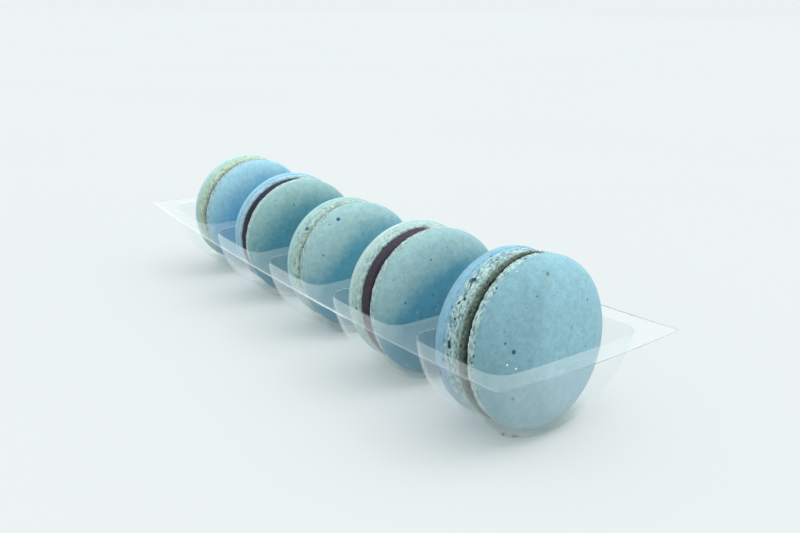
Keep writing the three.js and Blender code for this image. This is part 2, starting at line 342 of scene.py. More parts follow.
def shell_profile(radius, foot, dome):
    """(height, radius) rings from the flat inner face, over the foot and the cap's lip, to the crown."""
    rings = [(0.0, radius * share) for share in INNER_RINGS]
    steps = max(2, round(foot / FOOT_STEP))
    for step in range(steps + 1):
        height = foot * step / steps * 0.99
        rounding = 1 - max(0.0, 1 - height / FOOT_EDGE) ** 2
        share = FOOT_INNER + (UNDERCUT - FOOT_INNER) * rounding ** 0.5
        rings.append((height, radius * share))
    for step in range(LIP_STEPS):
        turn = (step + 0.5) / LIP_STEPS * math.pi / 2
        rings.append((
            foot + SKIRT * (1 - math.cos(turn)),
            radius * (1 - (1 - UNDERCUT) * (1 - math.sin(turn))),
        ))
    for step in range(CAP_STEPS):
        climb = math.sin(step / CAP_STEPS * math.pi / 2)
        rings.append((
            foot + SKIRT + dome * climb,
            radius * (1 - climb ** DOME_FLATNESS) ** (1 / DOME_ROUNDNESS),
        ))
    rings.append((foot + SKIRT + dome - 0.004, radius * 0.02))
    return rings


def shell_base(name, radius, foot, dome):
    """The smooth shell, with how much foot, inner edge and cap there is at each vertex."""
    profile = shell_profile(radius, foot, dome)
    shell = lathe(name, profile, SHELL_SIDES)
    heights = np.array([height for height, _ in profile])
    radii = np.array([r for _, r in profile])
    on_rim = smooth(radii, 0.89 * radius, 0.925 * radius)
    foot_weight = on_rim * (1 - smooth(heights, foot - 1.3, foot + 0.7)) * smooth(heights, 0.0, 0.9)
    edge_weight = on_rim * (1 - smooth(heights, 0.1, 0.9))
    cap_weight = smooth(heights, foot - 0.5, foot + 1.0)
    crumb_weight = 1 - smooth(heights, foot * 0.45, foot + 0.9)
    for label, weights in (
        ("foot", foot_weight), ("edge", edge_weight), ("cap", cap_weight), ("crumbly", crumb_weight)
    ):
        values = np.repeat(weights, SHELL_SIDES)
        store(shell.data, label, np.append(values, [weights[0], weights[-1]]))
    return shell


# Sizes of the relief on every shell, where nothing else is given
SHELL_INPUTS = (
    ("Ruffle Depth", 0.26 * MM),
    ("Ruffle Width", 3.4 * MM),
    ("Bubble Depth", 0.26 * MM),
    ("Bubble Width", 0.95 * MM),
    ("Grit Depth", 0.16 * MM),
    ("Grit Width", 0.5 * MM),
    ("Pit Depth", 1.0 * MM),
    ("Pit Width", 1.3 * MM),
    ("Pit Share", 0.3),
    ("Edge Wander", 0.7 * MM),
    ("Edge Wander Width", 1.3 * MM),
    ("Dent Depth", 0.1 * MM),
    ("Crumb Size", 0.15 * MM),
    ("Crumbs per Square Metre", 0.7e6),
    ("Seed", 0.0),
)

# What all of the relief shares: how much longer than wide its cells are, how strongly each pattern swings,
# the cell distance that lies level, and the width of the caps' dents in millimetres
BUBBLE_STRETCH = (1.9, 1.0, 1.0)
RUFFLE_GAIN = 2.4
GRIT_GAIN = 2.2
WANDER_GAIN = 2.0
BUBBLE_MIDDLE = 0.45
DENT_WIDTH = 7.0

# Three sizes of pit, as a share of the pit width, a shift of the pattern and a share of the pit share. A pit
# reaches from its cell's middle by a random share of the first number and by the second.
PIT_SIZES = ((0.62, 11.3, 1.9), (1.0, 14.1, 1.2), (1.5, 17.9, 0.7))
PIT_REACH = (0.28, 0.16)

# Least, most and seed of the crumbs' sizes and turns
CRUMB_SIZES = (0.5, 1.5, 2)
CRUMB_TURNS = (0.0, 6.3, 3)

# The two kinds of filling have a relief of their own, and no crumbs
FILLING_SURFACE = {
    "cream": {
        "Ruffle Depth": 0.2 * MM, "Bubble Depth": 0.6 * MM, "Grit Depth": 0.4 * MM, "Pit Depth": 0.9 * MM,
        "Pit Share": 0.4, "Crumbs per Square Metre": 0.0,
    },
    "jam": {
        "Ruffle Depth": 0.08 * MM, "Bubble Depth": 0.02 * MM, "Grit Depth": 0.03 * MM, "Pit Depth": 0.0,
        "Pit Share": 0.0, "Crumbs per Square Metre": 0.0,
    },
}


def surface_tree():
    """Geometry Nodes that bake a smooth shell: a ruffled, pitted foot with crumbs, and a dented cap."""
    tree = bpy.data.node_groups.new("baked shell surface", "GeometryNodeTree")
    interface = tree.interface
    interface.new_socket("Geometry", in_out="INPUT", socket_type="NodeSocketGeometry")
    for name, value in SHELL_INPUTS:
        socket = interface.new_socket(name, in_out="INPUT", socket_type="NodeSocketFloat")
        socket.default_value = value
    interface.new_socket("Material", in_out="INPUT", socket_type="NodeSocketMaterial")
    interface.new_socket("Geometry", in_out="OUTPUT", socket_type="NodeSocketGeometry")
    source = add(tree, "NodeGroupInput").outputs
    weight = {
        name: add(tree, "GeometryNodeInputNamedAttribute", [name], data_type="FLOAT")
        for name in ("foot", "edge", "cap", "crumbly")
    }
    position = add(tree, "GeometryNodeInputPosition")
    stretched = add(tree, "ShaderNodeVectorMath", [position, BUBBLE_STRETCH], operation="MULTIPLY")

    noise = {}
    for label, width, shift, detail in (
        ("ruffle", source["Ruffle Width"], 0.0, 2.0),
        ("grit", source["Grit Width"], 7.7, 3.0),
        ("dent", DENT_WIDTH * MM, 19.0, 1.0),
        ("wander", source["Edge Wander Width"], 23.0, 3.0),
    ):
        shifted = add(tree, "ShaderNodeMath", [source["Seed"], shift], operation="ADD")
        scale = add(tree, "ShaderNodeMath", [1.0, width], operation="DIVIDE")
        pattern = add(
            tree, "ShaderNodeTexNoise", {"Vector": position, "W": shifted, "Scale": scale, "Detail": detail},
            noise_dimensions="4D",
        )
        noise[label] = add(tree, "ShaderNodeMath", [pattern, 0.5], operation="SUBTRACT")

    cells = []
    pit_patterns = ((share, "Pit Width", shift) for share, shift, _ in PIT_SIZES)
    for share, label, shift in ((1.0, "Bubble Width", 3.1), *pit_patterns):
        shifted = add(tree, "ShaderNodeMath", [source["Seed"], shift], operation="ADD")
        width = add(tree, "ShaderNodeMath", [source[label], share], operation="MULTIPLY")
        scale = add(tree, "ShaderNodeMath", [1.0, width], operation="DIVIDE")
        cells.append(add(
            tree, "ShaderNodeTexVoronoi", {"Vector": stretched, "W": shifted, "Scale": scale},
            voronoi_dimensions="4D",
        ).outputs)
    bubbles, *pit_cells = cells

    ruffle = add(tree, "ShaderNodeMath", [noise["ruffle"], source["Ruffle Depth"]], operation="MULTIPLY")
    ruffle = add(tree, "ShaderNodeMath", [ruffle, RUFFLE_GAIN], operation="MULTIPLY")
    bubble = add(tree, "ShaderNodeMath", [BUBBLE_MIDDLE, bubbles["Distance"]], operation="SUBTRACT")
    bubble = add(tree, "ShaderNodeMath", [bubble, source["Bubble Depth"]], operation="MULTIPLY")
    grit = add(tree, "ShaderNodeMath", [noise["grit"], source["Grit Depth"]], operation="MULTIPLY")
    grit = add(tree, "ShaderNodeMath", [grit, GRIT_GAIN], operation="MULTIPLY")

    # Round holes of uneven size in some of the cells
    pit = 0.0
    for holes, (_, _, chance_share) in zip(pit_cells, PIT_SIZES):
        chance = add(tree, "FunctionNodeSeparateColor", [holes["Color"]]).outputs
        reach = add(tree, "ShaderNodeMath", [chance[1], *PIT_REACH], operation="MULTIPLY_ADD")
        inside = add(tree, "ShaderNodeMath", [reach, holes["Distance"]], operation="SUBTRACT")
        deep = add(
            tree, "ShaderNodeMapRange", [inside, 0.0, PIT_REACH[1]], interpolation_type="SMOOTHSTEP"
        )
        share = add(tree, "ShaderNodeMath", [source["Pit Share"], chance_share], operation="MULTIPLY")
        chosen = add(tree, "ShaderNodeMath", [chance[0], share], operation="LESS_THAN")
        hole = add(tree, "ShaderNodeMath", [deep, chosen], operation="MULTIPLY")
        hole = add(tree, "ShaderNodeMath", [hole, weight["foot"]], operation="MULTIPLY")
        pit = add(tree, "ShaderNodeMath", [pit, hole], operation="MAXIMUM")
    sunk = add(tree, "ShaderNodeMath", [pit, source["Pit Depth"]], operation="MULTIPLY")

    relief = add(tree, "ShaderNodeMath", [ruffle, bubble], operation="ADD")
    relief = add(tree, "ShaderNodeMath", [relief, grit], operation="ADD")
    hollow = add(tree, "ShaderNodeMath", [relief, source["Bubble Depth"]], operation="DIVIDE")
    relief = add(tree, "ShaderNodeMath", [relief, weight["foot"]], operation="MULTIPLY")
    dents = add(tree, "ShaderNodeMath", [noise["dent"], source["Dent Depth"]], operation="MULTIPLY")
    relief = add(tree, "ShaderNodeMath", [dents, weight["cap"], relief], operation="MULTIPLY_ADD")
    relief = add(tree, "ShaderNodeMath", [relief, sunk], operation="SUBTRACT")
    normal = add(tree, "GeometryNodeInputNormal")
    outwards = add(tree, "ShaderNodeVectorMath", [normal, relief], operation="SCALE")

    wander = add(tree, "ShaderNodeMath", [noise["wander"], WANDER_GAIN], operation="MULTIPLY")
    for share in (source["Edge Wander"], weight["edge"]):
        wander = add(tree, "ShaderNodeMath", [wander, share], operation="MULTIPLY")
    sideways = add(tree, "ShaderNodeCombineXYZ", [wander])
    offset = add(tree, "ShaderNodeVectorMath", [outwards, sideways], operation="ADD")

    moved = source["Geometry"]
    for name, value in (("pit", pit), ("hollow", hollow)):
        moved = add(
            tree, "GeometryNodeStoreNamedAttribute", {"Geometry": moved, "Name": name, "Value": value},
            data_type="FLOAT", domain="POINT",
        )
    moved = add(tree, "GeometryNodeSetPosition", {"Geometry": moved, "Offset": offset})

    density = add(
        tree, "ShaderNodeMath", [source["Crumbs per Square Metre"], weight["crumbly"]], operation="MULTIPLY"
    )
    points = add(
        tree, "GeometryNodeDistributePointsOnFaces", {"Mesh": moved, "Density": density, "Seed": 5},
        distribute_method="RANDOM",
    )
    grain = add(tree, "GeometryNodeMeshIcoSphere", {"Radius": 1.0, "Subdivisions": 1})
    size, spin = (
        add(
            tree, "FunctionNodeRandomValue", {"Min": (low,) * 3, "Max": (high,) * 3, "Seed": seed},
            data_type="FLOAT_VECTOR",
        )
        for low, high, seed in (CRUMB_SIZES, CRUMB_TURNS)
    )
    size = add(tree, "ShaderNodeVectorMath", [size, source["Crumb Size"]], operation="SCALE")
    crumbs = add(
        tree, "GeometryNodeInstanceOnPoints",
        {"Points": points, "Instance": grain, "Rotation": spin, "Scale": size},
    )
    crumbs = add(tree, "GeometryNodeRealizeInstances", {"Geometry": crumbs})
    for name in ("crumbly", "hollow"):
        crumbs = add(
            tree, "GeometryNodeStoreNamedAttribute", {"Geometry": crumbs, "Name": name, "Value": 1.0},
            data_type="FLOAT", domain="POINT",
        )
    joined = add(tree, "GeometryNodeJoinGeometry")
    for part in (moved, crumbs):
        tree.links.new(part.outputs[0], joined.inputs[0])
    dressed = add(tree, "GeometryNodeSetMaterial", {"Geometry": joined, "Material": source["Material"]})
    add(tree, "NodeGroupOutput", [dressed])
    return tree


def grow(source, tree, values):
    """Runs a tree on an object and leaves its result as the object's own plain mesh."""
    modifier = source.modifiers.new("grow", "NODES")
    modifier.node_group = tree
    for item in tree.interface.items_tree:
        if item.in_out == "INPUT" and item.name in values:
            modifier[item.identifier] = values[item.name]
    evaluated = source.evaluated_get(bpy.context.evaluated_depsgraph_get())
    mesh = bpy.data.meshes.new_from_object(evaluated)
    source.modifiers.remove(modifier)
    source.data = mesh
    mesh.name = source.name
    return source


def placement(number, macaron):
    """Where a macaron's middle stands and how it leans. The frame gives the height of its back cap's rim."""
    centre_x = ((POCKETS + 1) / 2 - number) * PITCH + macaron.along
    turn = Matrix.Rotation(math.radians(macaron.turn), 4, "Z")
    lean = Matrix.Rotation(math.radians(macaron.lean), 4, "Y")
    flat = Matrix.Translation(Vector((centre_x, macaron.across, 0)) * MM) @ turn @ lean
    rim = flat @ back_matrix(macaron) @ Vector(((macaron.back.foot + SKIRT) * MM, 0, 0))
    low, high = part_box(f"macaron_{number}_back_shell")
    return Matrix.Translation((0, 0, (low.z + high.z) / 2 - rim.z)) @ flat


def front_matrix(macaron):
    """From a front shell's own frame to its macaron's, opened by the gape."""
    hinge = Matrix.Translation(-GAPE_TOWARDS * GAPE_HINGE * macaron.radius * MM)
    axis = GAPE_TOWARDS.cross(Vector((1, 0, 0)))
    opened = hinge @ Matrix.Rotation(math.radians(macaron.gape), 4, axis) @ hinge.inverted()
    return Matrix.Translation(((macaron.filling / 2 + GAP) * MM, 0, 0)) @ opened


def back_matrix(macaron):
    """From a back shell's own frame to its macaron's, turned round and away by the wedge."""
    turned = Matrix.Rotation(math.pi - math.radians(macaron.wedge), 4, "Z")
    return Matrix.Translation((-(macaron.filling / 2 + GAP) * MM, 0, 0)) @ turned


def on_shell(macaron, data, fleck):
    """Where a fleck lies in its shell's own frame."""
    out = min(1.0, math.hypot(fleck.across, fleck.up) / macaron.radius)
    climb = (1 - out ** DOME_ROUNDNESS) ** (1 / DOME_FLATNESS)
    height = data.foot + SKIRT + data.dome * climb if fleck.height is None else fleck.height
    return Vector((height, fleck.across, fleck.up)) * MM


def shell(number, side, macaron, data, place, tree):
    """One finished shell in its place, with its own material."""
    name = f"{side}_shell_{number}"
    made = shell_base(name, macaron.radius, data.foot, data.dome)
    seed = number * 2 + (1 if side == "front" else 0)
    spots = [(place @ on_shell(macaron, data, fleck), fleck) for fleck in starmap(Fleck, data.flecks)]
    middle = place.translation / (macaron.radius * MM)
    # The middle of the shading painted into the caps: painted shade where the next macaron shadows a cap
    blush = Vector((0, middle.y + macaron.blushed[0], middle.z + macaron.blushed[1]))
    shrink = 1 / (macaron.radius * MM)
    material = baked_meringue(
        f"baked_meringue_{number}_{side}", data, seed, shrink, blush, spots, CRISPNESS[side]
    )
    grow(made, tree, {"Seed": seed * 5.0, "Pit Share": data.pits, "Material": material})
    made.data.transform(place)
    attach(made, "root")
    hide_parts(f"macaron_{number}_{side}_shell")
    return made


def filling(number, macaron, place, material, tree):
    """A disc of filling whose edge shows between the shells, sunk at both sides, with a soft uneven rim."""
    half = macaron.filling / 2 + GAP
    rng = np.random.default_rng(number)
    phases = rng.uniform(0, 2 * math.pi, 6)
    profile = []
    for step in range(FILLING_STEPS + 1):
        share = step / FILLING_STEPS
        across = half * (2 * share - 1)
        sunk = sum(
            sink * max(0.0, 1 - beside * 2 * half / FILLING_EDGE) ** 2
            for sink, beside in zip(macaron.sink, (share, 1 - share))
        )
        bulge = FILLING_BULGE * (1 - (across / half) ** 2)
        profile.append((across, macaron.radius * macaron.core + bulge - sunk))
    profile = [(-half, macaron.radius * 0.5)] + profile + [(half, macaron.radius * 0.5)]
    made = lathe(f"filling_{number}", profile, FILLING_SIDES)
    coords = np.empty(len(made.data.vertices) * 3)
    made.data.vertices.foreach_get("co", coords)
    coords = coords.reshape(-1, 3)
    from_back = np.clip(coords[:, 0] / (2 * half * MM) + 0.5, 0, 1)
    store(made.data, "from_back", from_back)
    angle = np.arctan2(coords[:, 2], coords[:, 1])
    radius = np.hypot(coords[:, 1], coords[:, 2])
    waves = sum(np.sin(k * angle + phases[i]) / k for i, k in enumerate((3, 5, 8, 13, 21, 34)))
    crumple = rng.uniform(-1, 1, len(coords)) * FILLING_CRUMPLE * MM
    edge = smooth(radius / (macaron.radius * MM), 0.7, 0.85)
    grown = 1 + (0.012 * waves + crumple / np.maximum(radius, MM)) * edge
    coords[:, 1:] *= grown[:, None]
    coords[:, 0] += (1 - from_back) * math.tan(math.radians(macaron.wedge)) * coords[:, 1]
    from_hinge = coords @ np.array(GAPE_TOWARDS) + GAPE_HINGE * macaron.radius * MM
    coords[:, 0] += from_back * math.tan(math.radians(macaron.gape)) * np.maximum(0, from_hinge)
    closed = smooth(coords[:, 1] / MM, macaron.closed - 1.5, macaron.closed + 1.5) * (coords[:, 2] > 0)
    coords[:, 1:] *= 1 + 0.015 * (closed * edge)[:, None]
    made.data.vertices.foreach_set("co", coords.ravel())
    for label, values in (
        ("foot", edge), ("edge", edge * 0), ("cap", edge * 0), ("crumbly", edge * 0), ("closed", closed)
    ):
        store(made.data, label, values)
    kind = "jam" if number in (2, 4) else "cream"
    grow(made, tree, {**FILLING_SURFACE[kind], "Seed": number * 7.0, "Material": material})
    made.data.transform(place)
    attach(made, "root")
    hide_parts(f"macaron_{number}_filling")
    return made


# Tray

def flange_top(x, y):
    """Height of the flange's upper face: it curls up at both ends, most of all in their corners, and is
    twisted a little at the far one."""
    along = x / (FLANGE_LENGTH / 2)
    across = y / (FLANGE_WIDTH / 2)
    curl = END_CURL * along ** 2 + CORNER_LIFT * along ** 4 * across ** 2
    return FLANGE_HEIGHT + curl + FAR_TWIST * across * (1 - along) / 2


def rounded_outline(half_length, half_width, corner_length, corner_width):
    """Rounded rectangle with as many points on each side as on every other, counter-clockwise from +X."""
    points = []
    for quarter in range(4):
        start = quarter * math.pi / 2
        sign_x = 1 if quarter in (0, 3) else -1
        sign_y = 1 if quarter < 2 else -1
        arc = [
            (
                sign_x * (half_length - corner_length) + corner_length * math.cos(start + turn),
                sign_y * (half_width - corner_width) + corner_width * math.sin(start + turn),
            )
            for turn in np.linspace(0, math.pi / 2, CORNER_STEPS + 1)
        ]
        middle = (round(math.cos(start)) * half_length, round(math.sin(start)) * half_width)
        after = start + math.pi / 2
        following = (round(math.cos(after)) * half_length, round(math.sin(after)) * half_width)
        points += [tuple(p) for p in np.linspace(middle, arc[0], SIDE_STEPS, endpoint=False)]
        points += arc
        points += [tuple(p) for p in np.linspace(arc[-1], following, SIDE_STEPS, endpoint=False)][1:]
    return points


def cell_outline(opening, centre, left, right):
    """Points on the edge of one pocket's stretch of the flange, one outwards of each point of the opening."""
    half = FLANGE_WIDTH / 2
    end = FLANGE_LENGTH / 2
    straight_x = OPENING_LENGTH / 2 - OPENING_CORNER
    straight_y = OPENING_WIDTH / 2 - OPENING_CORNER
    points = []
    for x, y in opening:
        over_x = max(0.0, abs(x) - straight_x)
        over_y = max(0.0, abs(y) - straight_y)
        edge = (right if x > 0 else left) - centre
        sign_y = 1 if y > 0 else -1
        if over_x == 0:
            points.append((x, sign_y * half))
            continue
        if over_y == 0:
            points.append((edge, y))
            continue
        share = math.atan2(over_y, over_x) / (math.pi / 2)
        round_corner = FLANGE_CORNER if abs(edge + centre) > end - 0.01 else 0.0
        points.append(corner_point(share, edge, sign_y * half, straight_x, straight_y, round_corner))
    return [(centre + x, y) for x, y in points]


def corner_point(share, edge, side, straight_x, straight_y, round_corner):
    """A point on a cell's outer corner: up its end edge, round the corner and back along its long edge."""
    sign_x = math.copysign(1, edge)
    sign_y = math.copysign(1, side)
    rise = abs(side) - straight_y - round_corner
    run = abs(edge) - straight_x - round_corner
    if share < 0.4:
        return edge, sign_y * (straight_y + rise * share / 0.4)
    if share > 0.6:
        return sign_x * (straight_x + run * (1 - share) / 0.4), side
    turn = (share - 0.4) / 0.2 * math.pi / 2
    return (
        sign_x * (straight_x + run + round_corner * math.cos(turn)),
        sign_y * (straight_y + rise + round_corner * math.sin(turn)),
    )


def pocket_loop(centre, drop, cosine, spread, lift):
    """One section of a pocket. drop is 0 at the flange and 1 at its foot."""
    height = (1 - drop) * (FLANGE_HEIGHT - FILM)
    into_rounding = max(0.0, FOOT_ROUNDING - height)
    rounding = FOOT_ROUNDING - math.sqrt(FOOT_ROUNDING ** 2 - into_rounding ** 2)
    half_length = (OPENING_LENGTH + (FOOT_LENGTH - OPENING_LENGTH) * drop) / 2 - rounding + spread
    half_width = OPENING_WIDTH / 2 * cosine ** (2 / POCKET_ROUNDNESS) + spread
    corner_width = min(OPENING_CORNER / cosine, half_width * LARGEST_CORNER)
    outline = rounded_outline(half_length, half_width, OPENING_CORNER, corner_width)
    return [
        (centre + x, y, lift + (1 - drop) * (flange_top(centre + x, y) - FILM))
        for x, y in outline
    ]


def fillet_loops(centre, inset, under):
    """Rounded turn from the flange down into a pocket. under is how far it lies below the flange's top."""
    radius = OPENING_FILLET - under
    loops = []
    for step in range(FILLET_STEPS):
        turn = step / FILLET_STEPS * math.pi / 2
        out = inset + radius * (1 - math.sin(turn))
        outline = rounded_outline(
            OPENING_LENGTH / 2 + out, OPENING_WIDTH / 2 + out, OPENING_CORNER + out, OPENING_CORNER + out
        )
        loops.append([
            (centre + x, y, flange_top(centre + x, y) - under - radius * (1 - math.cos(turn)))
            for x, y in outline
        ])
    return loops


def pocket_loops(centre, spread, lift):
    """Sections of a pocket from just below its fillet down to its foot."""
    ratio = (FOOT_WIDTH / OPENING_WIDTH) ** (POCKET_ROUNDNESS / 2)
    last_angle = math.acos(ratio)
    loops = []
    for level in range(POCKET_LEVELS + 1):
        angle = last_angle * level / POCKET_LEVELS
        drop = (math.sin(angle) / math.sin(last_angle)) ** (2 / POCKET_ROUNDNESS)
        if drop * FLANGE_HEIGHT > OPENING_FILLET + 0.2:
            loops.append(pocket_loop(centre, drop, math.cos(angle), spread, lift))
    return loops


def tray(film, cut_edge):
    """The film as one closed solid: each cell's two faces, and the cut rim round the flange."""
    vertices = []
    faces = []
    rim = set()

    def keep(loop):
        first = len(vertices)
        vertices.extend(loop)
        return range(first, first + len(loop))

    def strip(from_loop, to_loop, flip=False):
        count = len(from_loop)
        for i in range(count):
            j = (i + 1) % count
            face = (from_loop[i], from_loop[j], to_loop[j], to_loop[i])
            faces.append(face[::-1] if flip else face)

    end = FLANGE_LENGTH / 2
    for pocket in range(POCKETS):
        centre = (pocket - (POCKETS - 1) / 2) * PITCH
        left = -end if pocket == 0 else centre - PITCH / 2
        right = end if pocket == POCKETS - 1 else centre + PITCH / 2
        opening = rounded_outline(OPENING_LENGTH / 2, OPENING_WIDTH / 2, OPENING_CORNER, OPENING_CORNER)
        outline = cell_outline(opening, centre, left, right)
        top = keep([(x, y, flange_top(x, y)) for x, y in outline])
        under = keep([(x, y, flange_top(x, y) - FILM) for x, y in outline])
        inside = WALL - FILM
        inner = [keep(loop) for loop in fillet_loops(centre, inside, 0) + pocket_loops(centre, inside, FILM)]
        outer = [keep(loop) for loop in fillet_loops(centre, WALL, FILM) + pocket_loops(centre, WALL, 0)]
        strip(top, inner[0])
        strip(under, outer[0], True)
        for a, b in zip(inner, inner[1:]):
            strip(a, b)
        for a, b in zip(outer, outer[1:]):
            strip(a, b, True)
        faces.append(tuple(inner[-1]))
        faces.append(tuple(outer[-1])[::-1])
        for i in range(len(outline)):
            j = (i + 1) % len(outline)
            seam = any(
                abs(outline[i][0] - x) < 1e-6 and abs(outline[j][0] - x) < 1e-6 and abs(x) < end - 0.01
                for x in (left, right)
            )
            if not seam:
                rim.add(len(faces))
                faces.append((under[i], under[j], top[j], top[i]))
    made = mesh_object("film_tray", vertices, faces)
    made.data.materials.append(film)
    made.data.materials.append(cut_edge)
    made.data.polygons.foreach_set("material_index", [1 if i in rim else 0 for i in range(len(faces))])
    merge(made.data)
    made.data.set_sharp_from_angle(angle=math.radians(50))
    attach(made, "root")
    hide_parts("tray")
    return made


def merge(mesh):
    """Joins vertices that lie on each other."""
    editable = bmesh.new()
    editable.from_mesh(mesh)
    bmesh.ops.remove_doubles(editable, verts=editable.verts, dist=0.01 * MM)
    bmesh.ops.recalc_face_normals(editable, faces=editable.faces)
    editable.to_mesh(mesh)
    editable.free()


def loose_crumbs(material):
    """Dark bits of dried jam in the corner of the near pocket, each a lump of its own size and turn."""
    rng = np.random.default_rng(11)
    pieces = bmesh.new()
    for x, y, z, size in LOOSE_CRUMBS:
        turned = Matrix.Rotation(rng.uniform(0, 2 * math.pi), 4, Vector(rng.normal(size=3)).normalized())
        stretched = Matrix.Diagonal((*(size * rng.uniform(0.7, 1.3, 3) * MM), 1.0))
        where = Matrix.Translation(Vector((x, y, z)) * MM) @ turned @ stretched
        lump = bmesh.ops.create_icosphere(pieces, subdivisions=2, radius=1.0, matrix=where)["verts"]
        middle = Vector((x, y, z)) * MM
        for vertex in lump:
            vertex.co = middle + (vertex.co - middle) * rng.uniform(0.75, 1.15)
    mesh = bpy.data.meshes.new("loose_crumbs")
    pieces.to_mesh(mesh)
    pieces.free()
    mesh.shade_smooth()
    mesh.materials.append(material)
    made = bpy.data.objects.new("loose_crumbs", mesh)
    bpy.context.scene.collection.objects.link(made)
    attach(made, "root")
    return made


# Materials

def new_material(name):
    """A material with an empty tree, and the coordinates of the piece, which its patterns follow."""
    material = bpy.data.materials.new(name)
    material.use_nodes = True
    tree = material.node_tree
    tree.nodes.clear()
    return material, tree, add(tree, "ShaderNodeTexCoord").outputs["Object"]


def overlaid(tree, colour, layers):
    """Lays shades over a colour, each with as much cover as its limits make of a value of the surface."""
    for value, limits, shade in layers:
        cover = add(tree, "ShaderNodeMapRange", [value, *limits], **SOFT)
        colour = add(tree, "ShaderNodeMix", [cover, colour, linear(shade)], **RGBA)
    return colour


def baked_meringue(name, data, seed, shrink, blush, spots, crispness):
    """Baked almond meringue, piped and baked dry in the oven: a matte, finely grained skin in mottled pale
    blue with almond specks and a frosted bloom at a slant, and light and shade painted into it as a second
    colour round one point, over a paler, crumbly foot whose hollows and pores are painted dark as shade."""
    material, tree, coords = new_material(name)
    place = add(tree, "ShaderNodeMapping", {"Vector": coords, "Location": (seed * 0.11, seed * 0.07, 0)})

    # Shading painted into the cap fades out round its middle, with a ragged border
    scaled = {"Vector": coords, "Location": -blush, "Scale": (0, shrink, shrink)}
    from_shading_middle = add(tree, "ShaderNodeMapping", scaled)
    away = add(tree, "ShaderNodeVectorMath", [from_shading_middle], operation="LENGTH")
    clouds = add(tree, "ShaderNodeTexNoise", [place, 1 / (9.0 * MM), 3.0])
    ragged = add(tree, "ShaderNodeMath", [clouds, -PAINTED_SHADING_RAGGEDNESS, away], operation="MULTIPLY_ADD")
    colour = overlaid(tree, linear(data.crown), [(ragged, (*PAINTED_SHADING_FADE, 1.0, 0.0), data.blush)])
    for width, detail, low, high, dark, light in MOTTLES:
        pattern = add(tree, "ShaderNodeTexNoise", [place, 1 / (width * MM), detail, 0.7])
        shade = add(tree, "ShaderNodeMapRange", [pattern, low, high, dark, light], **SOFT)
        colour = add(tree, "ShaderNodeMix", [1.0, colour, shade], **TINT)

    # Round grains in some of the cells, each of its own size and shade
    for spacing, share, widest, strength, first, second in GRAINS:
        reaches = (0.35 * widest / spacing, 0.15 * widest / spacing)
        cells = add(tree, "ShaderNodeTexVoronoi", [place, 1 / (spacing * MM)]).outputs
        chance, size, kind = add(tree, "ShaderNodeSeparateColor", [cells["Color"]]).outputs
        reach = add(tree, "ShaderNodeMath", [size, *reaches], operation="MULTIPLY_ADD")
        inside = add(tree, "ShaderNodeMath", [reach, cells["Distance"]], operation="SUBTRACT")
        near = add(tree, "ShaderNodeMapRange", [inside, 0.0, 0.12 * widest / spacing], **SOFT)
        picked = add(tree, "ShaderNodeMath", [chance, share], operation="LESS_THAN")
        cover = add(tree, "ShaderNodeMath", [near, picked], operation="MULTIPLY")
        cover = add(tree, "ShaderNodeMath", [cover, strength], operation="MULTIPLY")
        grain = add(tree, "ShaderNodeMix", [kind, linear(first), linear(second)], **RGBA)
        colour = add(tree, "ShaderNodeMix", [cover, colour, grain], **RGBA)

    crumbly, edge, hollow, pit = (
        add(tree, "ShaderNodeAttribute", attribute_name=label).outputs["Fac"]
        for label in ("crumbly", "edge", "hollow", "pit")
    )
    streaked = add(tree, "ShaderNodeMapping", {"Vector": place, "Scale": (2.2, 1.0, 1.0)})
    streaks = add(tree, "ShaderNodeTexNoise", [streaked, 1 / (1.5 * MM), 4.0, 0.65])
    inwards = add(tree, "ShaderNodeMath", [crumbly, 1.0], operation="SUBTRACT")
    border = add(tree, "ShaderNodeMath", [streaks, 2.0, inwards], operation="MULTIPLY_ADD")
    broken = add(tree, "ShaderNodeMapRange", [border, 0.15, 0.85], **SOFT)
    coarse = min(1.0, 0.2 + 2 * data.pits)
    # Painted shade darkens the relief's hollows, over the streaked crumb colour
    crumb = overlaid(tree, linear(FOOT_SHADE), (
        (streaks, (0.36, 0.58, 1 - coarse, 1.0), data.crumb),
        (hollow, (-1.0, 0.1, 0.8 * coarse, 0.0), PAINTED_HOLLOW_SHADE),
        (edge, (0.2, 0.8, 0.0, crispness), CRISP_EDGE),
    ))
    colour = add(tree, "ShaderNodeMix", [broken, colour, crumb], **RGBA)
    # Painted shade in the foot's pits
    sunk = add(tree, "ShaderNodeMath", [pit, 0.95], operation="MULTIPLY")
    colour = add(tree, "ShaderNodeMix", [sunk, colour, linear(PAINTED_PIT_SHADE)], **RGBA)

    # Flecks at listed points; the dark pore spots among them are painted shade
    outline = add(tree, "ShaderNodeTexNoise", [place, 1 / (0.8 * MM)])
    for centre, spot in spots:
        width = spot.width * MM
        away = add(tree, "ShaderNodeVectorMath", [coords, tuple(centre)], operation="DISTANCE")
        ragged = add(tree, "ShaderNodeMath", [outline, 0.5 * width, away], operation="MULTIPLY_ADD")
        colour = overlaid(tree, colour, [(ragged, (0.6 * width, 0.95 * width, 0.92, 0.0), spot.code)])

    grit = add(tree, "ShaderNodeTexNoise", [place, 1 / (0.3 * MM), 3.0, 0.7])
    skin = add(tree, "ShaderNodeTexNoise", [place, 1 / (1.1 * MM)])
    fine = add(tree, "ShaderNodeMath", [grit, 0.6, skin], operation="MULTIPLY_ADD")
    bump = add(tree, "ShaderNodeBump", {"Height": fine, "Strength": 0.45, "Distance": 0.08 * MM})
    surface = add(
        tree, "ShaderNodeBsdfPrincipled",
        {
            "Base Color": colour, "Roughness": 0.8, "Specular IOR Level": 0.12,
            "Sheen Weight": 0.05, "Sheen Roughness": 0.5, "Normal": bump,
        },
    )
    add(tree, "ShaderNodeOutputMaterial", [surface])
    return material


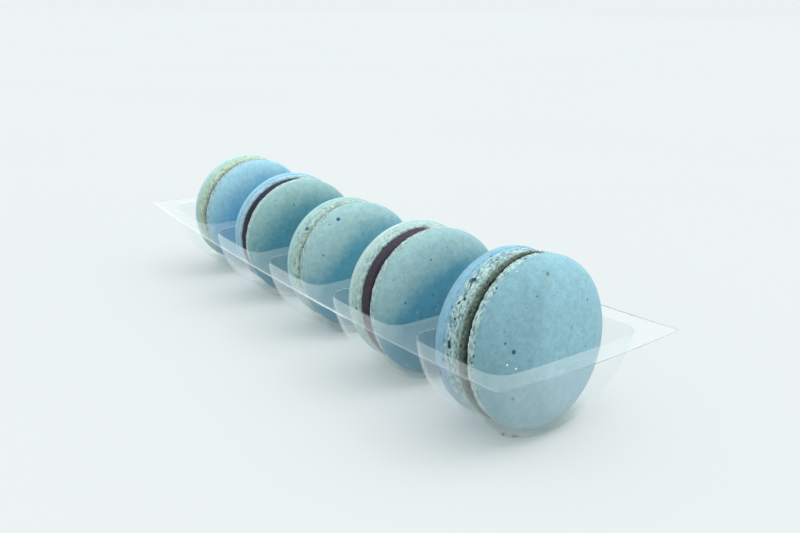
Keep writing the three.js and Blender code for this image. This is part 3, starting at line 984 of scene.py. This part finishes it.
def soft_cream(name, code, start):
    """Whipped ganache with shell crumbs in it, pressed between the shells: matte, ragged and pitted, in crumb
    colour near the back shell, with painted shade in its hollows and pits, and painted darker to nearly black
    towards the gap beside the front shell, as shade in that gap."""
    material, tree, coords = new_material(name)
    from_back, hollow, pit, closed = (
        add(tree, "ShaderNodeAttribute", attribute_name=label).outputs["Fac"]
        for label in ("from_back", "hollow", "pit", "closed")
    )
    swirl = add(tree, "ShaderNodeTexNoise", [coords, 1 / (0.7 * MM), 5.0, 0.7])
    shade = add(tree, "ShaderNodeMapRange", [swirl, 0.36, 0.62, 0.5, 1.2], **SOFT)
    colour = add(tree, "ShaderNodeMix", [1.0, linear(code), shade], **TINT)
    towards_shaded_gap = add(tree, "ShaderNodeMath", [swirl, 0.6, from_back], operation="MULTIPLY_ADD")
    # Crumb colour near the back shell, then painted shade: nearly black towards the front shell's gap, and
    # dark in the hollows
    colour = overlaid(tree, colour, (
        (towards_shaded_gap, (start, start + 0.35, 1.0, 0.0), FOOT_CRUMB),
        (towards_shaded_gap, (0.85, 1.2), "#0c110d"),
        (hollow, (-1.0, 0.1, 0.8, 0.0), "#1b2a26"),
    ))
    # Painted shade in the pits, and crumb colour where the shells close over
    for cover, code in ((pit, "#101a18"), (closed, FOOT_CRUMB)):
        colour = add(tree, "ShaderNodeMix", [cover, colour, linear(code)], **RGBA)
    bump = add(tree, "ShaderNodeBump", {"Height": swirl, "Strength": 0.9, "Distance": 0.35 * MM})
    surface = add(
        tree, "ShaderNodeBsdfPrincipled",
        {"Base Color": colour, "Roughness": 0.6, "Specular IOR Level": 0.3, "Normal": bump},
    )
    add(tree, "ShaderNodeOutputMaterial", [surface])
    return material


def plum_jam(name, code, start):
    """Cooked plum jam, set smooth: a violet body with a soft wet gloss, painted nearly black at both edges
    as shade in the gaps beside the shells.
    """
    material, tree, coords = new_material(name)
    from_back, closed = (
        add(tree, "ShaderNodeAttribute", attribute_name=label).outputs["Fac"]
        for label in ("from_back", "closed")
    )
    streaks = add(tree, "ShaderNodeMapping", {"Vector": coords, "Scale": (1.0, 0.18, 0.18)})
    flow = add(tree, "ShaderNodeTexNoise", [streaks, 1 / (0.7 * MM)])
    shade = add(tree, "ShaderNodeMapRange", [flow, 0.35, 0.65, 0.7, 1.35], **SOFT)
    colour = add(tree, "ShaderNodeMix", [1.0, linear(code), shade], **TINT)
    towards_shaded_edges = add(tree, "ShaderNodeMath", [flow, 0.25, from_back], operation="MULTIPLY_ADD")
    # Painted shade: dark green-black beside the back shell and nearly black beside the front one, in the gaps
    colour = overlaid(tree, colour, (
        (towards_shaded_edges, (start, start + 0.4, 1.0, 0.0), "#1c2827"),
        (towards_shaded_edges, (0.8, 1.02), "#0a0c10"),
    ))
    colour = add(tree, "ShaderNodeMix", [closed, colour, linear(FOOT_CRUMB)], **RGBA)
    bump = add(tree, "ShaderNodeBump", {"Height": flow, "Strength": 0.35, "Distance": 0.12 * MM})
    surface = add(
        tree, "ShaderNodeBsdfPrincipled",
        {"Base Color": colour, "Roughness": 0.4, "Specular IOR Level": 0.3, "Normal": bump},
    )
    add(tree, "ShaderNodeOutputMaterial", [surface])
    return material


def dried_jam(name):
    """Plum jam gone hard into crumbs by drying: nearly black, red-brown where thin, dull with a few glossy
    facets.
    """
    material, tree, coords = new_material(name)
    facets = add(tree, "ShaderNodeTexVoronoi", [coords, 1 / (0.3 * MM)]).outputs["Distance"]
    colour = add(tree, "ShaderNodeMix", [facets, linear("#24090a"), linear("#5c2420")], **RGBA)
    bump = add(tree, "ShaderNodeBump", {"Height": facets, "Strength": 0.6, "Distance": 0.1 * MM})
    surface = add(tree, "ShaderNodeBsdfPrincipled", {"Base Color": colour, "Roughness": 0.45, "Normal": bump})
    add(tree, "ShaderNodeOutputMaterial", [surface])
    return material


def clear_film(tree, coords):
    """See-through film without refraction: its mirror share grows towards a slant, it waves slowly, and it is
    painted greyer at the pockets' feet, as shade under the macarons. Soft light passes it unweakened, as what
    it throws back inside a white tent comes round again."""
    waves = add(tree, "ShaderNodeTexNoise", [coords, 1 / (9 * MM)])
    bump = add(tree, "ShaderNodeBump", {"Height": waves, "Strength": 0.35, "Distance": 0.5 * MM})
    facing = add(tree, "ShaderNodeLayerWeight", {"Blend": 0.5}).outputs["Facing"]
    shares = []
    for square_on, at_slant, sharpness in (FILM_MIRROR_WALL, FILM_MIRROR_LEVEL):
        slant = add(tree, "ShaderNodeMath", [facing, sharpness], operation="POWER")
        shares.append(add(tree, "ShaderNodeMath", [slant, at_slant, square_on], operation="MULTIPLY_ADD"))
    normal = add(tree, "ShaderNodeNewGeometry").outputs["True Normal"]
    upwards = add(tree, "ShaderNodeSeparateXYZ", [normal]).outputs["Z"]
    tilt = add(tree, "ShaderNodeMath", [upwards], operation="ABSOLUTE")
    level = add(tree, "ShaderNodeMapRange", [tilt, 0.4, 0.95], **SOFT)
    mirror = add(tree, "ShaderNodeMix", [level, *shares], data_type="FLOAT")
    ray = add(tree, "ShaderNodeLightPath").outputs
    passing = [ray["Is Shadow Ray"], ray["Is Diffuse Ray"]]
    passing = add(tree, "ShaderNodeMath", passing, operation="MAXIMUM")
    kept = add(tree, "ShaderNodeMath", [1.0, passing], operation="SUBTRACT")
    mirror = add(tree, "ShaderNodeMath", [mirror, kept], operation="MULTIPLY")
    # Painted shade: the film is tinted greyer below 5 mm, at the pockets' feet under the macarons
    height = add(tree, "ShaderNodeSeparateXYZ", [coords]).outputs["Z"]
    low = add(tree, "ShaderNodeMapRange", [height, 0.5 * MM, 5 * MM, 1.0, 0.0], **SOFT)
    foot_shade_tint = add(tree, "ShaderNodeMix", [low, linear("#feffff"), linear("#dde4e3")], **RGBA)
    clear = add(tree, "ShaderNodeBsdfTransparent", {"Color": foot_shade_tint})
    gloss = add(
        tree, "ShaderNodeBsdfGlossy", {"Color": linear("#ffffff"), "Roughness": 0.05, "Normal": bump}
    )
    return add(tree, "ShaderNodeMixShader", [mirror, clear, gloss])


def pale_cut_and_glint(tree, coords):
    """How white the film is painted at its cut: a thin line along the near side, partly frosted cut and
    partly painted highlight, with a painted highlight in short dashes along one stretch of it."""
    axes = add(tree, "ShaderNodeSeparateXYZ", [coords]).outputs
    side = -FLANGE_WIDTH / 2 * MM
    start, end = (x * MM for x in GLINT_STRETCH)
    near_side, near_end, started, ended = (
        add(tree, "ShaderNodeMapRange", [axes[axis], *limits], **SOFT)
        for axis, limits in (
            ("Y", (side + 0.5 * MM, side + PALE_BAND_WIDTH * MM, 1.0, 0.0)), ("X", (end, end + 8 * MM, 1.0, 0.35)),
            ("X", (start, start + 2 * MM)), ("X", (end - 4 * MM, end, 1.0, 0.0)),
        )
    )
    # A pale line along the near side, partly frosted cut and partly painted highlight
    line = add(tree, "ShaderNodeMath", [near_side, near_end], operation="MULTIPLY")
    # A highlight painted in short dashes along one stretch
    dashes = add(tree, "ShaderNodeTexNoise", [coords, 1 / (1.3 * MM), 1.0])
    painted_glint = add(tree, "ShaderNodeMapRange", [dashes, 0.38, 0.5, 0.3, 1.0], **SOFT)
    for share in (started, ended, line):
        painted_glint = add(tree, "ShaderNodeMath", [painted_glint, share], operation="MULTIPLY")
    return line, painted_glint


def thermoformed_film():
    """Clear PET film, drawn by vacuum into a mould: nearly colourless, mirror-like only at a slant, with slow
    waves from the forming and a trace of haze, and painted pale along the near cut, partly as frosting and
    partly as painted highlight."""
    material, tree, coords = new_material("thermoformed_pet_film")
    line, painted_glint = pale_cut_and_glint(tree, coords)
    # The near-side line and the dashes are painted pale on the film as highlight
    share = add(tree, "ShaderNodeMath", [line, 0.11, 0.03], operation="MULTIPLY_ADD")
    painted_glint = add(tree, "ShaderNodeMath", [painted_glint, 0.25], operation="MULTIPLY")
    share = add(tree, "ShaderNodeMath", [share, painted_glint], operation="MAXIMUM")
    haze = add(tree, "ShaderNodeBsdfDiffuse", {"Color": linear("#f4f8f8")})
    film = add(tree, "ShaderNodeMixShader", [share, clear_film(tree, coords), haze])
    add(tree, "ShaderNodeOutputMaterial", [film])
    return material


def cut_film_edge():
    """The film's edge as the die cut it: a hair-thin frosted line, painted pale on the near side as highlight
    and greyer on the others as shade, with painted white highlight dashes along one stretch, and fainter
    towards the far end."""
    material, tree, coords = new_material("die_cut_pet_edge")
    line, painted_glint = pale_cut_and_glint(tree, coords)
    # Paler on the near side as painted highlight, greyer on the others as painted shade, white where the
    # highlight dashes are painted
    colour = add(tree, "ShaderNodeMix", [line, linear("#8f989b"), linear("#b4c2c7")], **RGBA)
    colour = add(tree, "ShaderNodeMix", [painted_glint, colour, linear("#ffffff")], **RGBA)
    frosted = add(tree, "ShaderNodeBsdfPrincipled", {"Base Color": colour, "Roughness": 0.25})
    along = add(tree, "ShaderNodeTexNoise", [coords, 1 / (14 * MM), 3.0])
    share = add(tree, "ShaderNodeMapRange", [along, 0.4, 0.65, 0.3, 0.75], **SOFT)
    far = add(tree, "ShaderNodeSeparateXYZ", [coords]).outputs["X"]
    faint = add(tree, "ShaderNodeMapRange", [far, -90 * MM, -50 * MM, 0.25, 1.0], **SOFT)
    share = add(tree, "ShaderNodeMath", [share, faint], operation="MULTIPLY")
    painted_glint = add(tree, "ShaderNodeMath", [painted_glint, 0.5], operation="MULTIPLY")
    share = add(tree, "ShaderNodeMath", [share, painted_glint], operation="MAXIMUM")
    film = add(tree, "ShaderNodeMixShader", [share, clear_film(tree, coords), frosted])
    add(tree, "ShaderNodeOutputMaterial", [film])
    return material


def matte_paper():
    """Seamless white paper lit through from below, as on a light table: matte, and pale even in shade."""
    material, tree, coords = new_material("backlit_studio_paper")
    mottle = add(tree, "ShaderNodeTexNoise", [coords, 4.0])
    shade = add(tree, "ShaderNodeMapRange", [mottle, 0.2, 0.8, 0.99, 1.0], **SOFT)
    colour = add(tree, "ShaderNodeMix", [1.0, linear(PAPER), shade], **TINT)
    surface = add(
        tree, "ShaderNodeBsdfPrincipled",
        {
            "Base Color": colour, "Roughness": 1.0, "Specular IOR Level": 0.0,
            "Emission Color": linear(PAPER_LIGHT), "Emission Strength": PAPER_GLOW,
        },
    )
    add(tree, "ShaderNodeOutputMaterial", [surface])
    return material


# Stage, light and camera

def stage():
    """Paper that reaches far beyond the picture."""
    half = 6000.0
    corners = [(x * half, y * half, FLOOR) for x, y in ((-1, -1), (1, -1), (1, 1), (-1, 1))]
    floor = mesh_object("floor", corners, [(0, 1, 2, 3)])
    floor.data.materials.append(matte_paper())


def lights():
    """A white tent, a broad, high lamp behind the row's right side, and a small one for the film's glints."""
    world = bpy.data.worlds.new("white_tent")
    world.use_nodes = True
    tree = world.node_tree
    direction = add(tree, "ShaderNodeTexCoord").outputs["Generated"]
    upwards = add(tree, "ShaderNodeSeparateXYZ", [direction]).outputs["Z"]
    overhead = add(tree, "ShaderNodeMath", [upwards, 4.0], operation="POWER")
    strength = add(tree, "ShaderNodeMath", [overhead, TENT_RISE, 1.0], operation="MULTIPLY_ADD")
    background = tree.nodes["Background"]
    background.inputs["Color"].default_value = linear(TENT)
    tree.links.new(strength.outputs[0], background.inputs["Strength"])
    bpy.context.scene.world = world
    for name, (energy, angle) in (("broad_lamp", BROAD_LAMP), ("small_lamp", SMALL_LAMP)):
        lamp = bpy.data.lights.new(name, "SUN")
        lamp.energy = energy
        lamp.angle = math.radians(angle)
        key = bpy.data.objects.new(name, lamp)
        bpy.context.scene.collection.objects.link(key)
        key.rotation_euler = KEY_DIRECTION.to_track_quat("Z", "Y").to_euler()


def camera():
    """Looks at its target from an azimuth and an elevation, with a slight roll."""
    lens = bpy.data.cameras.new("camera")
    lens.sensor_width = SENSOR_WIDTH
    lens.lens = FOCAL_PIXELS / IMAGE_WIDTH * SENSOR_WIDTH
    lens.clip_start = 0.01
    lens.clip_end = 50
    azimuth, elevation, roll = CAMERA_AZIMUTH, CAMERA_ELEVATION, CAMERA_ROLL
    away = Vector((
        math.cos(elevation) * math.sin(azimuth),
        -math.cos(elevation) * math.cos(azimuth),
        math.sin(elevation),
    ))
    level = Vector((math.cos(azimuth), math.sin(azimuth), 0))
    upright = away.cross(level)
    right = level * math.cos(roll) + upright * math.sin(roll)
    up = upright * math.cos(roll) - level * math.sin(roll)
    made = bpy.data.objects.new("camera", lens)
    bpy.context.scene.collection.objects.link(made)
    turned = Matrix((right, up, away)).transposed().to_4x4()
    made.matrix_world = Matrix.Translation((CAMERA_TARGET + away * CAMERA_DISTANCE) * MM) @ turned
    bpy.context.scene.camera = made


camera()
stage()
lights()
bpy.context.scene.view_settings.view_transform = "Standard"
bpy.context.scene.cycles.transparent_max_bounces = FILM_FACES_PASSED
tray(thermoformed_film(), cut_film_edge())
surface = surface_tree()
for index, macaron in enumerate(MACARONS):
    number = index + 1
    place = placement(number, macaron)
    shell(number, "back", macaron, macaron.back, place @ back_matrix(macaron), surface)
    shell(number, "front", macaron, macaron.front, place @ front_matrix(macaron), surface)
    spread = plum_jam if number in (2, 4) else soft_cream
    material = spread(f"{spread.__name__}_{number}", macaron.cream, macaron.start)
    filling(number, macaron, place, material, surface)

loose_crumbs(dried_jam("dried_plum_jam"))
